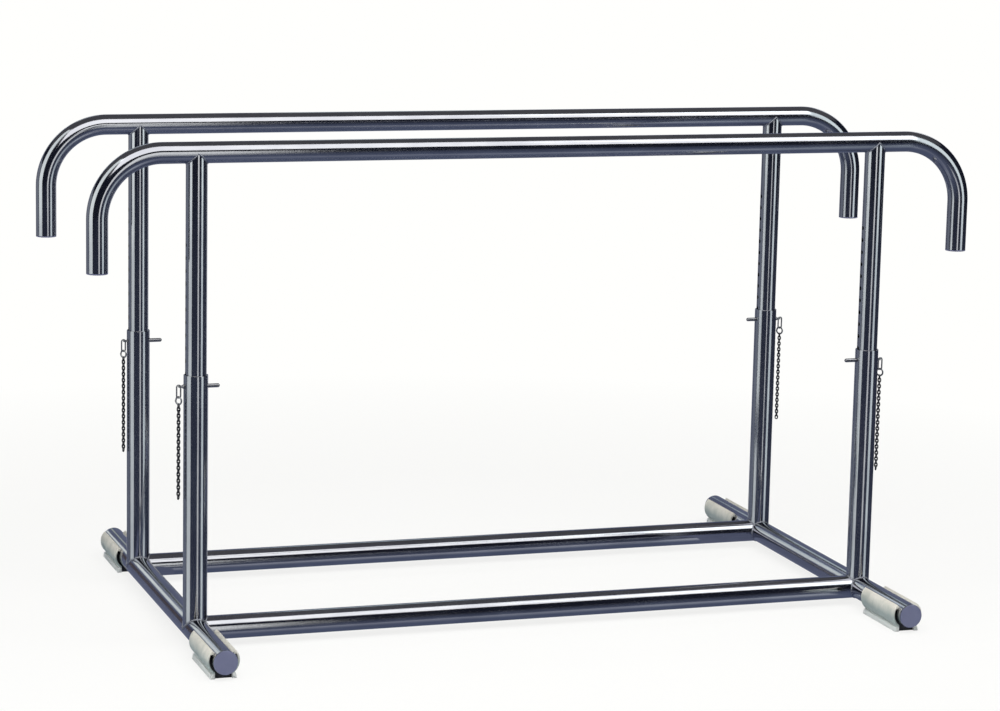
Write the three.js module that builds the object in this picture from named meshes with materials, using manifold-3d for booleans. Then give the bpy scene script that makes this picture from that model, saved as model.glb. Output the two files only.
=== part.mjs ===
import * as THREE from 'three';
import { mergeVertices } from 'three/addons/utils/BufferGeometryUtils.js';
import Module from 'manifold-3d';

const wasm = await Module();
wasm.setup();

// Walking parallel bars: a floor frame with four outer posts, and two handrails whose inner posts
// slide in them and are held by cross pins that hang on chains.
// X runs along the handrails, Z is up, and the origin is on the floor under the middle of the frame.

// Tubes
const mainTubeRadius = 24.15;
const mainTubeWall = 2.75;
const slideClearance = 0.3;
const slideTubeRadius = mainTubeRadius - mainTubeWall - slideClearance;
const slideTubeWall = 2.8;
const weldBead = 2.2;
const partGap = 0.3;
const cutOverrun = 5;

// Feet, drawn round the axis of the cross tube that they hold
const footLength = 156;
const footInset = 18;
const footPadWidth = 52;
const footPadTopWidth = 48;
const footPadThickness = 10.5;
const footSeatThickness = 1.05;
const footShellWall = 4.35;
const footRelief = 3.2;
const footLipTaper = 1.2;
const footLipAngle = THREE.MathUtils.degToRad(48);
const footSeatAngle = THREE.MathUtils.degToRad(140);

// Frame
const postSpacing = 1440;
const handrailSpacing = 536;
const crossTubeLength = 1060;
const crossPlugThickness = 9;
const baseAxisHeight = footPadThickness + footSeatThickness + partGap + mainTubeRadius;
const outerPostTop = 548;

// Handrails, at the height setting that is drawn
const handrailHeight = 984;
const handrailBend = 127;
const handrailDrop = 105;
const handrailOverhang = 195;
const handrailReach = postSpacing / 2 + handrailOverhang;
const dropEndHeight = handrailHeight - handrailBend - handrailDrop;
const railPlugFlange = 2.5;
const railPlugInsert = 14;

// Height adjustment
const holePitch = 25.4;
const holesAbovePin = 11;
const holesBelowPin = 1;
const loweredClearance = 7;
const pinBelowRim = 23;
const pinHeight = outerPostTop - pinBelowRim;
const innerPostBottom = baseAxisHeight + mainTubeRadius + loweredClearance + holesAbovePin * holePitch;

// Locking pins: the tip is measured from the axis of the post
const pinRadius = 4;
const pinHoleClearance = 0.5;
const pinTipRounding = 4;
const pinEyeToTip = 79;
const pinEyeRadius = 2.6;
const pinTabThickness = 3.6;
const pinTabLength = 4;
const pinTips = { near_left: 48, near_right: 50.5, far_left: 50.5, far_right: 46.5 };

// Link, ring and chain under each pin
const linkWireRadius = 1.2;
const linkWidth = 11;
const linkLength = 28;
const ringWireRadius = 1.1;
const ringRadius = 9;
const ringTurn = THREE.MathUtils.degToRad(125);
const chainWireRadius = 0.9;
const chainWidth = 6.4;
const chainPitch = 6.5;
const chainBite = 0.5;
const chainTurn = THREE.MathUtils.degToRad(-40);
const chainLengths = { near_left: 188.5, near_right: 201.5, far_left: 201.5, far_right: 195 };

// Sides and steps of the round shapes
const tubeSides = 16;
const holeSides = 8;
const dropSteps = 1;
const bendSteps = 7;
const wireSides = 6;
const roundSteps = 12;
const pinTipSteps = 4;
const linkSteps = 8;
const chainWireSides = 4;
const chainSteps = 4;
const footSteps = 7;

const corners = [
  { name: 'near_left', x: -1, y: -1 },
  { name: 'near_right', x: 1, y: -1 },
  { name: 'far_left', x: -1, y: 1 },
  { name: 'far_right', x: 1, y: 1 },
];

const chrome = new THREE.MeshStandardMaterial({ color: 0xb9bac0, metalness: 1, roughness: 0.12 });
const zinc = new THREE.MeshStandardMaterial({ color: 0xa9aaa8, metalness: 1, roughness: 0.28 });
const cream = new THREE.MeshStandardMaterial({ color: 0xd8d5c8, metalness: 0, roughness: 0.45 });
const greyPlastic = new THREE.MeshStandardMaterial({ color: 0x6a6a8c, metalness: 0, roughness: 0.55 });

// A closed geometry as a solid that can be joined and cut
function toSolid(geometry) {
  const bare = geometry.clone();
  bare.deleteAttribute('normal');
  bare.deleteAttribute('uv');
  const merged = mergeVertices(bare);
  const corner = merged.index.array;
  const kept = [];
  for (let i = 0; i < corner.length; i += 3) {
    const [a, b, c] = [corner[i], corner[i + 1], corner[i + 2]];
    if (a !== b && b !== c && c !== a) kept.push(a, b, c);
  }
  const vertProperties = merged.attributes.position.array;
  const triVerts = new Uint32Array(kept);
  return new wasm.Manifold(new wasm.Mesh({ numProp: 3, vertProperties, triVerts }));
}

function toGeometry(solid) {
  const { vertProperties, triVerts } = solid.getMesh();
  const geometry = new THREE.BufferGeometry();
  geometry.setAttribute('position', new THREE.BufferAttribute(vertProperties, 3));
  geometry.setIndex(new THREE.BufferAttribute(triVerts, 1));
  geometry.computeVertexNormals();
  return geometry;
}

// Geometries made along +Y are turned to run along another axis
const turnFromY = {
  x: (geometry) => geometry.rotateZ(-Math.PI / 2),
  y: (geometry) => geometry,
  z: (geometry) => geometry.rotateX(Math.PI / 2),
};

function rodGeometry(axis, radius, from, to, sides = tubeSides) {
  const rod = new THREE.CylinderGeometry(radius, radius, to - from, sides);
  rod.translate(0, (from + to) / 2, 0);
  return turnFromY[axis](rod);
}

function rod(axis, radius, from, to, sides = tubeSides) {
  return toSolid(rodGeometry(axis, radius, from, to, sides));
}

function tube(axis, radius, wall, from, to) {
  const bore = radius - wall;
  const profile = [
    new THREE.Vector2(radius, from),
    new THREE.Vector2(radius, to),
    new THREE.Vector2(bore, to),
    new THREE.Vector2(bore, from),
    new THREE.Vector2(radius, from),
  ];
  return toSolid(turnFromY[axis](new THREE.LatheGeometry(profile, tubeSides)));
}

function moved(solid, x, y, z) {
  return solid.translate([x, y, z]);
}

// The bead where a tube of this radius meets another: the part of both that lies just outside them
function weldCollar(tubeAxis, acrossAxis, radius, from, to) {
  const around = rod(tubeAxis, radius + weldBead, from, to);
  const reach = radius + weldBead + cutOverrun;
  return around.intersect(rod(acrossAxis, radius + weldBead, -reach, reach));
}

// Cross tube of the floor frame, along Y
function crossTube() {
  return tube('y', mainTubeRadius, mainTubeWall, -crossTubeLength / 2, crossTubeLength / 2);
}

function crossTubePlug() {
  const radius = mainTubeRadius - mainTubeWall - partGap;
  return rod('y', radius, -crossPlugThickness, 0);
}

// Long rail of the floor frame, along X, coped round the cross tube at each end
function longRail() {
  const half = postSpacing / 2;
  const cope = mainTubeRadius + partGap;
  const postClear = mainTubeRadius + weldBead + partGap;
  const width = mainTubeRadius + cutOverrun;
  let rail = tube('x', mainTubeRadius, mainTubeWall, -half, half);
  for (const end of [-1, 1]) {
    const x = end * half;
    const collar = moved(weldCollar('x', 'y', mainTubeRadius, -width, width), x, 0, 0)
      .intersect(rod('x', mainTubeRadius + weldBead, -half, half))
      .subtract(moved(rod('z', postClear, 0, width + weldBead), x, 0, 0))
      .subtract(rod('x', mainTubeRadius - mainTubeWall, -half - width, half + width));
    rail = rail.add(collar).subtract(moved(rod('y', cope, -width, width), x, 0, 0));
  }
  return rail;
}

// Outer post: its foot straddles the cross tube, and the long rail leaves on its +X side
function outerPost() {
  const top = outerPostTop - baseAxisHeight;
  const cope = mainTubeRadius + partGap;
  const width = mainTubeRadius + weldBead + cutOverrun;
  const bore = rod('z', mainTubeRadius - mainTubeWall, -cutOverrun, top + cutOverrun);
  const pinHole = rod('x', pinRadius + pinHoleClearance, -width, width, holeSides);
  return tube('z', mainTubeRadius, mainTubeWall, 0, top)
    .add(weldCollar('z', 'y', mainTubeRadius, 0, width))
    .add(weldCollar('z', 'x', mainTubeRadius, 0, width).intersect(rod('x', width, 0, width)))
    .subtract(bore)
    .subtract(rod('y', cope, -width, width))
    .subtract(rod('x', cope, 0, width))
    .subtract(moved(pinHole, 0, 0, pinHeight - baseAxisHeight));
}

// Inner post, drawn down from the axis of the handrail that it carries
function innerPost() {
  const bottom = innerPostBottom - handrailHeight;
  const width = slideTubeRadius + weldBead + cutOverrun;
  const bore = rod('z', slideTubeRadius - slideTubeWall, bottom - cutOverrun, 0);
  let post = tube('z', slideTubeRadius, slideTubeWall, bottom, 0)
    .add(weldCollar('z', 'x', slideTubeRadius, -width, 0))
    .subtract(bore)
    .subtract(rod('x', slideTubeRadius + partGap, -width, width));
  const hole = rod('x', pinRadius + pinHoleClearance, -width, width, holeSides);
  for (let k = -holesBelowPin; k <= holesAbovePin; k += 1) {
    post = post.subtract(moved(hole, 0, 0, pinHeight + k * holePitch - handrailHeight));
  }
  return post;
}

// Centre line of a handrail: up the left drop, round the bend, along, and down the right drop.
// Equal steps of t give a station at each end of a straight, and even ones round the bends.
class HandrailPath extends THREE.Curve {
  constructor(dropLength) {
    super();
    this.dropLength = dropLength;
    this.middle = dropSteps + bendSteps;
    this.steps = 2 * this.middle + 1;
  }

  getUtoTmapping(u) {
    return u;
  }

  leftHalf(station) {
    const risen = Math.min(station / dropSteps, 1);
    const turned = THREE.MathUtils.clamp((station - dropSteps) / bendSteps, 0, 1);
    const angle = turned * Math.PI / 2;
    const x = -handrailReach + handrailBend * (1 - Math.cos(angle));
    const z = -handrailBend * (1 - Math.sin(angle)) - this.dropLength * (1 - risen);
    return { x, z, angle };
  }

  station(t) {
    const station = t * this.steps;
    const along = 2 * (station - this.middle) - 1;
    if (Math.abs(along) < 1) {
      return { x: along * (handrailReach - handrailBend), z: 0, angle: Math.PI / 2 };
    }
    if (along < 0) return this.leftHalf(station);
    const mirror = this.leftHalf(this.steps - station);
    return { x: -mirror.x, z: mirror.z, angle: Math.PI - mirror.angle };
  }

  getPoint(t, target = new THREE.Vector3()) {
    const { x, z } = this.station(t);
    return target.set(x, 0, z);
  }

  getTangent(t, target = new THREE.Vector3()) {
    const { angle } = this.station(t);
    return target.set(Math.sin(angle), 0, Math.cos(angle));
  }
}

function circlePoints(radius) {
  const points = [];
  for (let i = 0; i < tubeSides; i += 1) {
    const angle = 2 * Math.PI * i / tubeSides;
    points.push(new THREE.Vector2(radius * Math.cos(angle), radius * Math.sin(angle)));
  }
  return points;
}

function handrail() {
  const endHeight = dropEndHeight + railPlugFlange + partGap;
  const path = new HandrailPath(handrailHeight - handrailBend - endHeight);
  const section = new THREE.Shape(circlePoints(slideTubeRadius));
  section.holes.push(new THREE.Path(circlePoints(slideTubeRadius - slideTubeWall)));
  const sweep = { steps: path.steps, extrudePath: path, bevelEnabled: false };
  return toSolid(new THREE.ExtrudeGeometry(section, sweep));
}

// Plug of a handrail end: a flange under the tube and an insert in its bore
function handrailPlug() {
  const insertRadius = slideTubeRadius - slideTubeWall - partGap;
  const flange = rod('z', slideTubeRadius, 0, railPlugFlange);
  return flange.add(rod('z', insertRadius, 0, railPlugFlange + railPlugInsert));
}

// Outline of a foot in X and Z, with angles from straight up over the tube axis
function footOutline() {
  const seat = mainTubeRadius + partGap;
  const shell = seat + footRelief + footShellWall;
  const padAngle = Math.PI - Math.acos((baseAxisHeight - footPadThickness) / shell);
  const at = (radius, angle) => [radius * Math.sin(angle), baseAxisHeight + radius * Math.cos(angle)];
  const outer = [];
  const inner = [];
  for (let i = 0; i <= footSteps; i += 1) {
    const share = i / footSteps;
    const outerAngle = footLipAngle + share * (padAngle - footLipAngle);
    const aboveSide = Math.max(0, (Math.PI / 2 - outerAngle) / (Math.PI / 2 - footLipAngle));
    outer.push(at(shell - footLipTaper * aboveSide ** 2, outerAngle));
    const innerAngle = footLipAngle + share * (footSeatAngle - footLipAngle);
    inner.push(at(seat + footRelief * Math.sin(share * Math.PI), innerAngle));
  }
  outer.push([footPadTopWidth / 2, footPadThickness], [footPadWidth / 2, 0]);
  inner.push(at(seat, (footSeatAngle + Math.PI) / 2));
  const mirrored = (points) => points.map(([x, z]) => [-x, z]);
  const outline = [
    ...outer,
    ...mirrored(outer).reverse(),
    ...mirrored(inner),
    at(seat, Math.PI),
    ...[...inner].reverse(),
  ];
  return outline.map(([x, z]) => new THREE.Vector2(x, z));
}

function foot() {
  const shape = new THREE.Shape(footOutline());
  const saddle = new THREE.ExtrudeGeometry(shape, { depth: footLength, bevelEnabled: false });
  saddle.translate(0, 0, -footLength / 2);
  return toSolid(saddle.rotateX(Math.PI / 2));
}

// Locking pin along X: a rod with a rounded tip, and a level tab with an upright eye at the outer end
function lockingPin(tip) {
  const eye = tip - pinEyeToTip;
  const shoulder = eye + pinTabLength;
  const profile = [new THREE.Vector2(0, shoulder), new THREE.Vector2(pinRadius, shoulder)];
  for (let i = 0; i <= pinTipSteps; i += 1) {
    const angle = i / pinTipSteps * Math.PI / 2;
    const along = tip - pinTipRounding * (1 - Math.sin(angle));
    const radius = i === pinTipSteps ? 0 : pinRadius * Math.cos(angle);
    profile.push(new THREE.Vector2(radius, along));
  }
  const shank = toSolid(turnFromY.x(new THREE.LatheGeometry(profile, roundSteps)));
  const half = pinTabThickness / 2;
  const tabBlock = new THREE.BoxGeometry(pinTabLength + partGap, 2 * pinRadius, pinTabThickness);
  tabBlock.translate(eye + (pinTabLength + partGap) / 2, 0, 0);
  const tabEnd = moved(rod('z', pinRadius, -half, half), eye, 0, 0);
  const eyeHole = moved(rod('z', pinEyeRadius, -pinRadius, pinRadius, roundSteps), eye, 0, 0);
  return shank.add(toSolid(tabBlock)).add(tabEnd).subtract(eyeHole);
}

// A round wire bent to an oval that is long in Z and lies in the XZ plane, centred on its top bend.
// Its steps are a multiple of four, so that it has flats at its top, bottom and sides.
function ovalLink(wire, width, length, sides, steps) {
  const bend = width / 2 - wire;
  const straight = (length - width) / 2;
  const overFlats = 1 / Math.cos(Math.PI / steps);
  const oval = new THREE.TorusGeometry(bend, wire, sides, steps);
  oval.rotateZ(Math.PI / steps).scale(overFlats, overFlats, 1);
  const position = oval.attributes.position;
  for (let i = 0; i < position.count; i += 1) {
    position.setY(i, position.getY(i) + straight * Math.sign(position.getY(i)));
  }
  oval.rotateX(Math.PI / 2);
  return moved(toSolid(oval), 0, 0, wire - length / 2);
}

function pinLink() {
  return ovalLink(linkWireRadius, linkWidth, linkLength, wireSides, linkSteps);
}

function pinRing() {
  const ring = new THREE.TorusGeometry(ringRadius - ringWireRadius, ringWireRadius, wireSides, roundSteps);
  return toSolid(ring.rotateX(Math.PI / 2));
}

// Chain of links that bite into each other, turned by a quarter each, the first one across X
function chain(chainLength) {
  const count = Math.round(chainLength / chainPitch);
  const wireWidth = 2 * chainWireRadius;
  const length = chainPitch + 2 * wireWidth - chainBite;
  const alongX = ovalLink(chainWireRadius, chainWidth, length, chainWireSides, chainSteps);
  const acrossX = alongX.rotate([0, 0, 90]);
  let links = acrossX;
  for (let k = 1; k < count; k += 1) {
    links = links.add(moved(k % 2 ? alongX : acrossX, 0, 0, -k * chainPitch));
  }
  return links;
}

function addPart(parent, name, solid, material, x = 0, y = 0, z = 0) {
  const mesh = new THREE.Mesh(toGeometry(solid), material);
  mesh.name = name;
  mesh.position.set(x, y, z);
  parent.add(mesh);
  return mesh;
}

function addGroup(parent, x, y, z, turn = 0) {
  const group = new THREE.Group();
  group.position.set(x, y, z);
  group.rotation.z = turn;
  parent.add(group);
  return group;
}

const bars = new THREE.Group();
bars.name = 'walking_parallel_bars';

// Floor frame
const frame = addGroup(bars, 0, 0, baseAxisHeight);
const tubeEnd = crossTubeLength / 2;
for (const [side, sign] of [['left', -1], ['right', 1]]) {
  addPart(frame, `base_cross_tube_${side}`, crossTube(), chrome, sign * postSpacing / 2);
}
for (const [side, sign] of [['near', -1], ['far', 1]]) {
  addPart(frame, `base_long_rail_${side}`, longRail(), chrome, 0, sign * handrailSpacing / 2);
}
for (const corner of corners) {
  const x = corner.x * postSpacing / 2;
  const y = corner.y * handrailSpacing / 2;
  const inward = corner.x < 0 ? 0 : Math.PI;
  const post = addGroup(frame, x, y, 0, inward);
  addPart(post, `outer_post_${corner.name}`, outerPost(), chrome);
  const end = addGroup(frame, x, corner.y * tubeEnd, 0, corner.y < 0 ? Math.PI : 0);
  addPart(end, `cross_tube_plug_${corner.name}`, crossTubePlug(), greyPlastic);
  const footCentre = corner.y * (tubeEnd - footInset - footLength / 2);
  addPart(bars, `foot_${corner.name}`, foot(), cream, x, footCentre, 0);
}

// Handrails with their inner posts
for (const [side, sign] of [['near', -1], ['far', 1]]) {
  const rail = addGroup(bars, 0, sign * handrailSpacing / 2, handrailHeight);
  addPart(rail, `handrail_${side}`, handrail(), chrome);
  const plugHeight = dropEndHeight - handrailHeight;
  for (const corner of corners.filter((c) => c.y === sign)) {
    const postX = corner.x * postSpacing / 2;
    const plugX = corner.x * handrailReach;
    addPart(rail, `inner_post_${corner.name}`, innerPost(), chrome, postX);
    addPart(rail, `handrail_plug_${corner.name}`, handrailPlug(), greyPlastic, plugX, 0, plugHeight);
  }
}

// Locking pins, each with its link, ring and chain
for (const corner of corners) {
  const x = corner.x * postSpacing / 2;
  const y = corner.y * handrailSpacing / 2;
  const tip = pinTips[corner.name];
  const pin = addGroup(bars, x, y, pinHeight, corner.x < 0 ? 0 : Math.PI);
  addPart(pin, `locking_pin_${corner.name}`, lockingPin(tip), zinc);
  const rimMiddle = tip - pinEyeToTip - (pinRadius + pinEyeRadius) / 2;
  const hanging = addGroup(pin, rimMiddle, 0, pinTabThickness / 2 + partGap + linkWireRadius);
  const linkBottom = -(linkLength - 2 * linkWireRadius);
  const ringCentre = linkBottom + linkWireRadius + partGap + 2 * ringWireRadius - ringRadius;
  const ringBottom = ringCentre - ringRadius + ringWireRadius;
  const chainTop = ringBottom + ringWireRadius + partGap + chainWireRadius;
  addPart(hanging, `pin_link_${corner.name}`, pinLink(), zinc);
  const ring = addGroup(hanging, 0, 0, ringCentre, ringTurn);
  addPart(ring, `pin_ring_${corner.name}`, pinRing(), zinc);
  const lowest = addGroup(hanging, 0, 0, chainTop, chainTurn);
  addPart(lowest, `pin_chain_${corner.name}`, chain(chainLengths[corner.name]), zinc);
}

export default bars;
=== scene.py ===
import math

import bmesh
import bpy
from mathutils import Matrix, Vector


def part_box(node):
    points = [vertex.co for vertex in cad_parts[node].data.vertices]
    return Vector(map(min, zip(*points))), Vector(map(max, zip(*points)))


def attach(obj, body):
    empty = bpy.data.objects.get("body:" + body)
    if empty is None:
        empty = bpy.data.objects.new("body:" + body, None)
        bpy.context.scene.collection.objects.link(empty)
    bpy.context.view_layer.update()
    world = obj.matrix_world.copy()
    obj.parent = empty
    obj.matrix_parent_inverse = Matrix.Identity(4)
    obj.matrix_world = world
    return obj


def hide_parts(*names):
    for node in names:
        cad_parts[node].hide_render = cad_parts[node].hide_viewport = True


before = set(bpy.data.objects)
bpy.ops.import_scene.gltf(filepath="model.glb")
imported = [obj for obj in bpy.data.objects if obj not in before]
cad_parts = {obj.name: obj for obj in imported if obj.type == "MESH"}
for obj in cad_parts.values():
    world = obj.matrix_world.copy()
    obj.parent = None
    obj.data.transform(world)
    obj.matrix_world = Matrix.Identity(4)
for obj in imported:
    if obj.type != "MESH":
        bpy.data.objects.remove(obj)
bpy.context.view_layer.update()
scene = bpy.context.scene
scene.view_settings.view_transform = "Standard"
mm = 0.001
corners = {"near_left": (-1, -1), "near_right": (1, -1), "far_left": (-1, 1), "far_right": (1, 1)}
print("frame loaded:", len(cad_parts), "nodes")

# Camera, at the photograph's viewing angle; its turns are in radians
cameraSet = {
    "place": (-2.0967, -6.1768, 1.6597),
    "yaw": -0.32691,
    "pitch": -0.17396,
    "roll": 0.02118,
    "lens": 113.05,
    "sensor": 36,
    "clipEnd": 300,
}


def addCamera():
    yaw, pitch, roll = cameraSet["yaw"], cameraSet["pitch"], cameraSet["roll"]
    ahead = Vector((-math.sin(yaw) * math.cos(pitch), math.cos(yaw) * math.cos(pitch), math.sin(pitch)))
    level = Vector((math.cos(yaw), math.sin(yaw), 0))
    upright = level.cross(ahead)
    right = math.cos(roll) * level + math.sin(roll) * upright
    up = math.cos(roll) * upright - math.sin(roll) * level
    data = bpy.data.cameras.new("camera")
    data.lens = cameraSet["lens"]
    data.sensor_width = cameraSet["sensor"]
    data.clip_end = cameraSet["clipEnd"]
    obj = bpy.data.objects.new("camera", data)
    turn = Matrix((right, up, -ahead)).transposed().to_4x4()
    obj.matrix_world = Matrix.Translation(cameraSet["place"]) @ turn
    scene.collection.objects.link(obj)
    scene.camera = obj


addCamera()


def setStops(ramp, stops):
    for index, (position, colour) in enumerate(stops):
        element = ramp.elements[index] if index < len(ramp.elements) else ramp.elements.new(position)
        element.position = position
        element.color = (*colour, 1)


# One output socket of a shader tree, with arithmetic on it
class Wire:
    def __init__(self, tree, socket=None):
        self.tree = tree
        self.socket = socket

    # Any node: its settings first, then the values or links of its sockets; gives one of its outputs
    def node(self, kind, settings=None, sockets=None, output=0):
        made = self.tree.nodes.new(kind)
        for name, value in (settings or {}).items():
            if name == "stops":
                setStops(made.color_ramp, value)
            else:
                setattr(made, name, value)
        for key, value in (sockets or {}).items():
            if isinstance(value, Wire):
                self.tree.links.new(value.socket, made.inputs[key])
            else:
                made.inputs[key].default_value = value
        return Wire(self.tree, made.outputs[output]) if made.outputs else made

    def maths(self, operation, *values):
        return self.node("ShaderNodeMath", {"operation": operation}, dict(enumerate(values)))

    def __add__(self, other):
        return self.maths("ADD", self, other)

    def __radd__(self, other):
        return self.maths("ADD", other, self)

    def __sub__(self, other):
        return self.maths("SUBTRACT", self, other)

    def __rsub__(self, other):
        return self.maths("SUBTRACT", other, self)

    def __mul__(self, other):
        return self.maths("MULTIPLY", self, other)

    def __rmul__(self, other):
        return self.maths("MULTIPLY", other, self)

    def __pow__(self, other):
        return self.maths("POWER", self, other)

    def __rpow__(self, other):
        return self.maths("POWER", other, self)

    def colours(self, low, high):  # this factor mixes two colours
        return self.node("ShaderNodeMix", {"data_type": "RGBA"}, {0: self, 6: low, 7: high}, 2)

    def between(self, low, high, start=0.0, end=1.0):  # this value's range moved to another, clamped
        return self.node("ShaderNodeMapRange", None, {0: self, 1: low, 2: high, 3: start, 4: end})

    def noise(self, scale, detail, roughness, distortion=0.0):
        values = {"Vector": self, "Scale": scale, "Detail": detail, "Roughness": roughness}
        return self.node("ShaderNodeTexNoise", None, {**values, "Distortion": distortion})

    def marks(self, scales, detail, roughness):  # noise with its own scale along each axis
        stretched = self.node("ShaderNodeMapping", None, {"Vector": self, "Scale": scales})
        return stretched.noise(1.0, detail, roughness)


def newMaterial(name):
    material = bpy.data.materials.new(name)
    material.use_nodes = True
    material.node_tree.nodes.clear()
    return material, Wire(material.node_tree)


def finishMaterial(material, sheet, sockets, height, depth):
    normal = sheet.node("ShaderNodeBump", None, {"Height": height, "Distance": depth, "Strength": 1.0})
    shader = sheet.node("ShaderNodeBsdfPrincipled", None, {**sockets, "Normal": normal})
    sheet.node("ShaderNodeOutputMaterial", None, {"Surface": shader})
    return material


# Where a point lies on a tube: two coordinates across the tube and the third along it
def tubeSpot(sheet):
    return sheet.node("ShaderNodeAttribute", {"attribute_name": "run"}, None, "Vector")


def ownSpot(sheet):
    return sheet.node("ShaderNodeTexCoord", None, None, "Object")


# In the settings of a finish, a noise is its scale (or a scale for each axis), detail and roughness,
# and a range is two values and the share or roughness that they become, which is 0 and 1 if not given

# Polished chrome plate
chromeSet = {
    "dull": (0.42, 0.425, 0.46, 1),
    "bright": (0.55, 0.555, 0.58, 1),
    "roughness": (0.06, 0.14),
    "clouds": ((26, 26, 9), 3.0, 0.55),
    "streaks": ((900, 900, 7), 2.0, 0.6),
    "scratches": ((2600, 2600, 30), 1.0, 0.5),
    "waves": ((34, 34, 6), 1.5, 0.4),
    "polish": ((30, 30, 2400), 1.0, 0.5),  # fine marks round the tube
    "mottleRange": (0.36, 0.64),
    "smearRange": (0.3, 0.7),
    "relief": (0.6, 0.04, 0.02, 0.06),  # shares of waves, streaks, scratches and polish
    "depth": 0.22 * mm,
}


def chromeMaterial():
    material, sheet = newMaterial("chrome_plate")
    run = tubeSpot(sheet)
    clouds = run.marks(*chromeSet["clouds"])
    streaks = run.marks(*chromeSet["streaks"])
    scratches = run.marks(*chromeSet["scratches"])
    waves = run.marks(*chromeSet["waves"])
    polish = run.marks(*chromeSet["polish"])
    mottle = (clouds * 0.65 + streaks * 0.35).between(*chromeSet["mottleRange"])
    smear = (clouds * 0.5 + scratches * 0.5).between(*chromeSet["smearRange"])
    wavy, streaky, scratchy, polished = chromeSet["relief"]
    height = waves * wavy + streaks * streaky + scratches * scratchy + polish * polished
    return finishMaterial(material, sheet, {
        "Base Color": mottle.colours(chromeSet["dull"], chromeSet["bright"]),
        "Metallic": 1.0,
        "Roughness": smear.between(0, 1, *chromeSet["roughness"]),
    }, height, chromeSet["depth"])


# Bare steel of the bores and cut ends
boreSet = {
    "dark": (0.10, 0.10, 0.11, 1),
    "pale": (0.24, 0.23, 0.23, 1),
    "clouds": ((60, 60, 20), 4.0, 0.6),
    "roughnessRange": (0.2, 0.8, 0.35, 0.6),
    "depth": 0.2 * mm,
}


def boreMaterial():
    material, sheet = newMaterial("raw_bore_steel")
    clouds = tubeSpot(sheet).marks(*boreSet["clouds"])
    return finishMaterial(material, sheet, {
        "Base Color": clouds.colours(boreSet["dark"], boreSet["pale"]),
        "Metallic": 1.0,
        "Roughness": clouds.between(*boreSet["roughnessRange"]),
    }, clouds, boreSet["depth"])


# Zinc plate: bright on the pins, links and rings, dulled on the chains
zincSet = {
    "finishes": {  # dark, pale, and from and to in roughness
        "bright_zinc": ((0.20, 0.20, 0.22, 1), (0.44, 0.44, 0.45, 1), 0.12, 0.26),
        "dulled_zinc": ((0.02, 0.022, 0.03, 1), (0.13, 0.13, 0.145, 1), 0.22, 0.4),
    },
    "clouds": (140.0, 4.0, 0.6, 0.4),  # the last is its distortion
    "grain": (2200.0, 2.0, 0.5),
    "wearRange": (0.3, 0.7),
    "depth": 0.08 * mm,
}


def zincMaterial(name):
    material, sheet = newMaterial(name)
    dark, pale, smooth, rough = zincSet["finishes"][name]
    spot = ownSpot(sheet)
    clouds = spot.noise(*zincSet["clouds"])
    grain = spot.noise(*zincSet["grain"])
    return finishMaterial(material, sheet, {
        "Base Color": clouds.colours(dark, pale),
        "Metallic": 1.0,
        "Roughness": (clouds * 0.6 + grain * 0.4).between(*zincSet["wearRange"], smooth, rough),
    }, grain * 0.5 + clouds * 0.5, zincSet["depth"])


# Moulded cream plastic of the feet, with painted shade that makes the lower part of the shell darker
# and cooler, and a little soiled towards the floor
creamSet = {
    "aged": (0.72, 0.70, 0.60, 1),
    "fresh": (0.82, 0.80, 0.72, 1),
    # painted shade: a darker cool grey for the lower part of the shell, with its range by height and
    # its sway
    "paintedShade": (0.33, 0.40, 0.39, 1),
    "flange": (0.76, 0.79, 0.77, 1),
    "soiled": (0.30, 0.31, 0.30, 1),
    "paintedShadeRange": (0.029, 0.053, 0.95, 0.0),  # by the height over the floor, as the next two are
    "flangeRange": (0.0098, 0.0125, 0.9, 0.0),
    "soilRange": (0.0, 0.004, 1.0, 0.0),
    "paintedShadeSway": 0.02,
    "blotches": (38.0, 4.0, 0.6, 0.3),
    "blotchRange": (0.3, 0.7),
    "patchRange": (0.35, 0.65),
    "scuffs": ((420, 60, 420), 3.0, 0.6),
    "scuffRange": (0.62, 0.75, 0.0, 0.5),
    "soilShare": 0.5,
    "grain": (1500.0, 2.0, 0.6),
    "roughnessRange": (0.3, 0.7, 0.36, 0.55),
    "depth": 0.12 * mm,
}


def creamMaterial():
    material, sheet = newMaterial("cream_plastic")
    spot = ownSpot(sheet)
    height = sheet.node("ShaderNodeSeparateXYZ", None, {0: spot}, "Z")
    blotches = spot.noise(*creamSet["blotches"])
    scuffs = spot.marks(*creamSet["scuffs"]).between(*creamSet["scuffRange"])
    grain = spot.noise(*creamSet["grain"])
    aged = blotches.between(*creamSet["blotchRange"]).colours(creamSet["aged"], creamSet["fresh"])
    # Painted shade: below about 53 mm the shell is mixed towards the darker cool grey
    paintedShade = (height + (blotches - 0.5) * creamSet["paintedShadeSway"]).between(*creamSet["paintedShadeRange"])
    shaded = paintedShade.colours(aged, creamSet["paintedShade"])
    body = height.between(*creamSet["flangeRange"]).colours(shaded, creamSet["flange"])
    soil = (height.between(*creamSet["soilRange"]) + scuffs) * blotches.between(*creamSet["patchRange"])
    return finishMaterial(material, sheet, {
        "Base Color": soil.between(0, 1, 0, creamSet["soilShare"]).colours(body, creamSet["soiled"]),
        "Roughness": (grain * 0.5 + blotches * 0.5).between(*creamSet["roughnessRange"]),
    }, grain, creamSet["depth"])
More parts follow.
